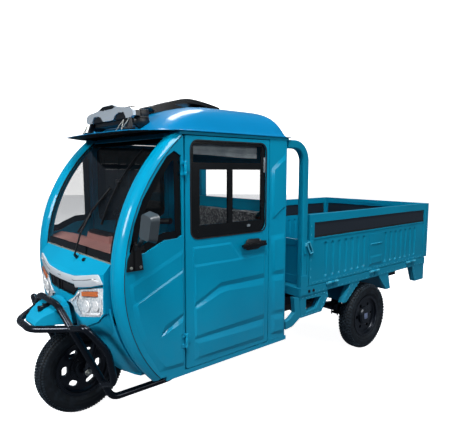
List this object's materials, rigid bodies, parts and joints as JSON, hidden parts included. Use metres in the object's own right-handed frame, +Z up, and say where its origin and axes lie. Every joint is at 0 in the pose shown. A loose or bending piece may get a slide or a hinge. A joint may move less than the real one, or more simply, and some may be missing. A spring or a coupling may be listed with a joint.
{
  "type": "electric cargo tricycle",
  "caption": "Three-wheeled cargo vehicle with an enclosed cab, one steered front wheel and a drop-side load bed.",
  "frame": {"origin": "on the ground below the front axle, in the centre plane", "axes": "+X to the vehicle's left, +Y towards its back, +Z up"},
  "size_m": [1.3999, 3.482, 1.9082],
  "materials": {
    "body_paint": "gloss teal-blue enamel",
    "bed_paint": "teal-blue enamel on pressed sheet",
    "black_paint": "satin black enamel",
    "tyre": "matt black rubber",
    "glass": "clear glass, lightly tinted",
    "lamp": "clear lens over a bright reflector",
    "black_plastic": "moulded black plastic",
    "silver_plastic": "silver lacquered plastic",
    "dash_plastic": "moulded salmon-pink plastic",
    "seat_steel": "painted sheet",
    "seat_cover": "red-brown leathercloth"
  },
  "bodies": {
    "chassis": {"chassis_frame": "black_paint", "bumper_guard": "black_paint", "rear_axle": "black_paint", "leaf_springs": "black_paint", "battery_pack": "black_plastic", "cab_frame": "body_paint", "quarter_panels": "body_paint", "quarter_windows": "glass", "corner_panels": "body_paint", "cab_rear_wall": "body_paint", "rear_window": "glass", "cab_tub": "body_paint", "windshield": "glass", "nose_panel": "body_paint", "headlights": "lamp", "grille_panel": "black_plastic", "trim_bar": "silver_plastic", "front_fender": "body_paint", "wiper": "black_plastic", "mirror_left": "black_plastic", "roof_panel": "body_paint", "roof_lamp_pod": "silver_plastic", "roof_arch_trim": "black_plastic", "door_hinges": "black_paint", "dashboard": "dash_plastic", "seat_box": "seat_steel", "seat_cushion": "seat_cover", "seat_backrest": "seat_cover", "bed_deck": "bed_paint", "bed_brackets": "bed_paint", "headboard": "bed_paint", "guard_hoops": "bed_paint", "tail_lamps": "lamp"},
    "steering": {"front_fork": "black_paint", "handlebar": "black_plastic"},
    "front_wheel": {"front_rim": "black_paint", "front_tyre": "tyre"},
    "rear_wheel_left": {"rear_rim_left": "black_paint", "rear_tyre_left": "tyre"},
    "rear_wheel_right": {"rear_rim_right": "black_paint", "rear_tyre_right": "tyre"},
    "door_left": {"door_left": "body_paint", "door_window_left": "black_plastic", "door_glass_left": "glass", "door_handle_left": "black_plastic"},
    "door_right": {"door_right": "body_paint", "door_window_right": "black_plastic", "door_glass_right": "glass", "door_handle_right": "black_plastic"},
    "side_board_left": {"side_board_left": "bed_paint"},
    "side_board_right": {"side_board_right": "bed_paint"},
    "tailgate": {"tailgate": "bed_paint"}
  },
  "joints": [
    {"name": "steering", "type": "hinge", "parent": "chassis", "child": "steering", "pos_m": [0, 0.04, 0.265], "axis": [0, 0.309, 0.9511], "range_deg": [-35, 35]},
    {"name": "front_wheel_spin", "type": "hinge", "parent": "steering", "child": "front_wheel", "pos_m": [0, 0, 0.265], "axis": [1, 0, 0], "continuous": true},
    {"name": "rear_wheel_left_spin", "type": "hinge", "parent": "chassis", "child": "rear_wheel_left", "pos_m": [0.538, 2.158, 0.265], "axis": [1, 0, 0], "continuous": true},
    {"name": "rear_wheel_right_spin", "type": "hinge", "parent": "chassis", "child": "rear_wheel_right", "pos_m": [-0.538, 2.158, 0.265], "axis": [1, 0, 0], "continuous": true},
    {"name": "door_left_hinge", "type": "hinge", "parent": "chassis", "child": "door_left", "pos_m": [0.6, 0.357, 0.98], "axis": [0, 0, -1], "range_deg": [0, 68]},
    {"name": "door_right_hinge", "type": "hinge", "parent": "chassis", "child": "door_right", "pos_m": [-0.6, 0.357, 0.98], "axis": [0, 0, 1], "range_deg": [0, 68]},
    {"name": "side_board_left_hinge", "type": "hinge", "parent": "chassis", "child": "side_board_left", "pos_m": [0.6, 2.25, 0.632], "axis": [0, 1, 0], "range_deg": [0, 178]},
    {"name": "side_board_right_hinge", "type": "hinge", "parent": "chassis", "child": "side_board_right", "pos_m": [-0.6, 2.25, 0.632], "axis": [0, -1, 0], "range_deg": [0, 178]},
    {"name": "tailgate_hinge", "type": "hinge", "parent": "chassis", "child": "tailgate", "pos_m": [0, 3.14, 0.632], "axis": [-1, 0, 0], "range_deg": [0, 178]}
  ]
}
